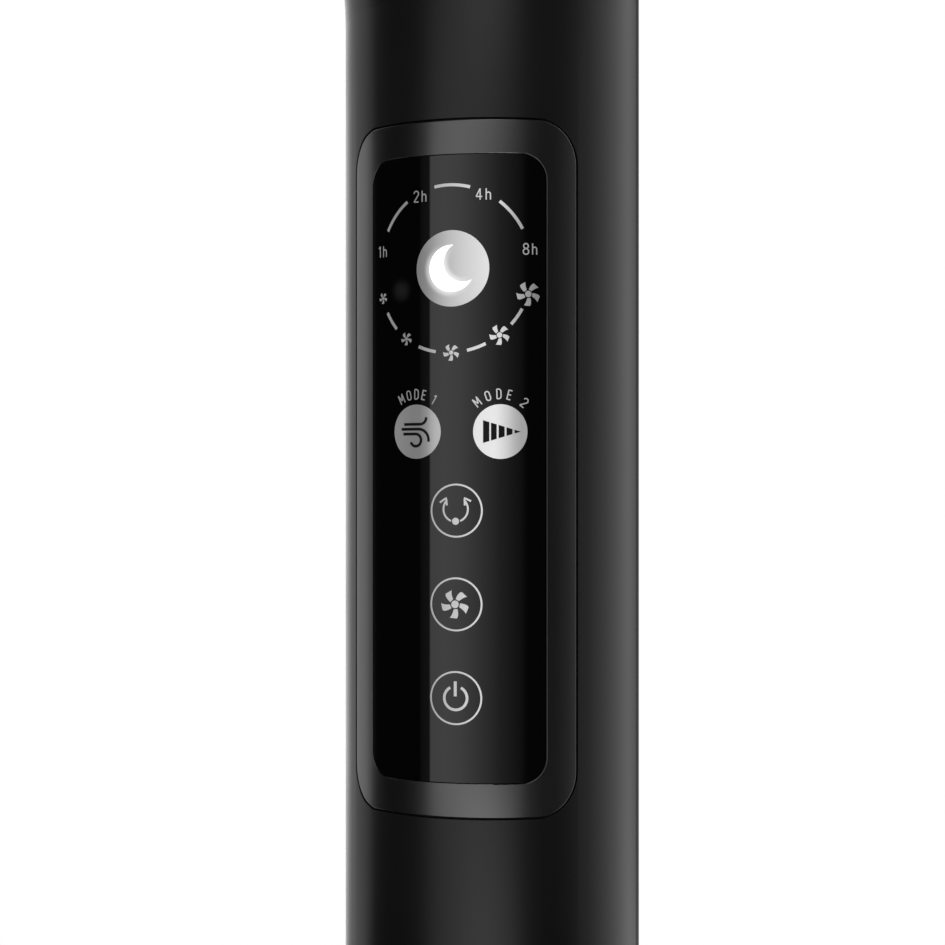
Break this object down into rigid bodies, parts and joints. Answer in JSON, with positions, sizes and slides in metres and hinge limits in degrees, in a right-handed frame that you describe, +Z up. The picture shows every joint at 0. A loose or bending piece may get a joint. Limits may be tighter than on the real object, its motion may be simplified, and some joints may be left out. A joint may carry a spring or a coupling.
{
  "type": "tower fan",
  "caption": "Tall round tower fan: a slim black column with an upright outlet grille and a curved glossy touch panel, turning on a weighted round base, with a cross-flow blower inside.",
  "frame": {"origin": "centre of the round base, on the floor plane that the rubber feet stand on", "axes": "+Z up along the column's axis, -Y towards the front, where the touch panel and the air outlet face; +X to the right as seen along +Y"},
  "size_m": [0.26, 0.26, 1],
  "materials": {
    "shell_black": "satin",
    "base_black": "satin",
    "grille_black": "matte",
    "bezel_graphite": "satin metallic",
    "lens_black": "high gloss",
    "trim_dark": "satin",
    "inner_plastic": "matte",
    "blower_plastic": "matte",
    "white_plastic": "matte",
    "gear_plastic": "matte",
    "board_green": "satin",
    "part_black": "satin",
    "block_green": "matte",
    "led_white": "gloss",
    "foam_grey": "matte",
    "rubber_black": "matte",
    "screw_steel": "zinc plated",
    "polished_steel": "polished",
    "sheet_steel": "galvanised",
    "core_steel": "dull",
    "winding_copper": "enamelled",
    "bearing_bronze": "satin",
    "hub_metal": "turned",
    "ballast_iron": "rough cast"
  },
  "bodies": {
    "base": {"base_cover": "base_black", "base_plate": "inner_plastic", "rubber_feet": "rubber_black", "ballast_ring": "ballast_iron", "base_screws": "screw_steel", "cord_gland": "rubber_black", "pivot_hub": "hub_metal", "hub_screws": "screw_steel", "fixed_gear": "gear_plastic", "pivot_clip": "polished_steel"},
    "ball_race": {"ball_cage": "white_plastic", "thrust_balls": "polished_steel"},
    "column": {"turntable": "inner_plastic", "column_screws": "screw_steel", "pivot_bush": "bearing_bronze", "drive_bracket": "sheet_steel", "drive_motor": "sheet_steel", "drive_screws": "screw_steel", "front_shell": "shell_black", "rear_shell": "shell_black", "shell_screws": "screw_steel", "inlet_grille": "grille_black", "dust_filter": "foam_grey", "handle_cup": "grille_black", "control_bezel": "bezel_graphite", "touch_lens": "lens_black", "panel_carrier": "inner_plastic", "control_board": "board_green", "panel_screws": "screw_steel", "led_light_box": "white_plastic", "indicator_leds": "led_white", "ir_receiver": "part_black", "touch_pads": "foam_grey", "power_board": "board_green", "power_screws": "screw_steel", "mains_capacitor": "part_black", "transformer": "core_steel", "terminal_block": "block_green", "lower_partition": "inner_plastic", "upper_partition": "inner_plastic", "partition_screws": "screw_steel", "motor_housing": "sheet_steel", "motor_dampers": "rubber_black", "motor_screws": "screw_steel", "motor_end_cap": "sheet_steel", "motor_stator": "winding_copper", "motor_bearings": "bearing_bronze", "scroll_wall": "inner_plastic", "tongue_wall": "inner_plastic", "bearing_boot": "rubber_black", "top_bearing": "bearing_bronze", "outlet_grille": "shell_black", "top_trim": "trim_dark", "top_cap": "shell_black"},
    "blower": {"blower_wheel": "blower_plastic", "motor_shaft": "polished_steel", "motor_rotor": "core_steel", "top_axle": "polished_steel"},
    "swing_pinion": {"drive_pinion": "gear_plastic", "drive_shaft": "polished_steel"}
  },
  "joints": [
    {"name": "column_turn", "type": "hinge", "parent": "base", "child": "column", "pos_m": [0, 0, 0.041], "axis": [0, 0, 1], "range_deg": [-90, 90]},
    {"name": "ball_race_turn", "type": "hinge", "parent": "base", "child": "ball_race", "pos_m": [0, 0, 0.039], "axis": [0, 0, 1], "range_deg": [-45, 45]},
    {"name": "swing_pinion_turn", "type": "hinge", "parent": "column", "child": "swing_pinion", "pos_m": [0, 0.03, 0.057], "axis": [0, 0, 1], "range_deg": [-270, 270]},
    {"name": "blower_spin", "type": "hinge", "parent": "column", "child": "blower", "pos_m": [0, 0.006, 0.71], "axis": [0, 0, 1], "continuous": true}
  ],
  "couplings": [
    {"joint": "ball_race_turn", "follows": "column_turn", "ratio": 0.5},
    {"joint": "swing_pinion_turn", "follows": "column_turn", "ratio": 3}
  ]
}
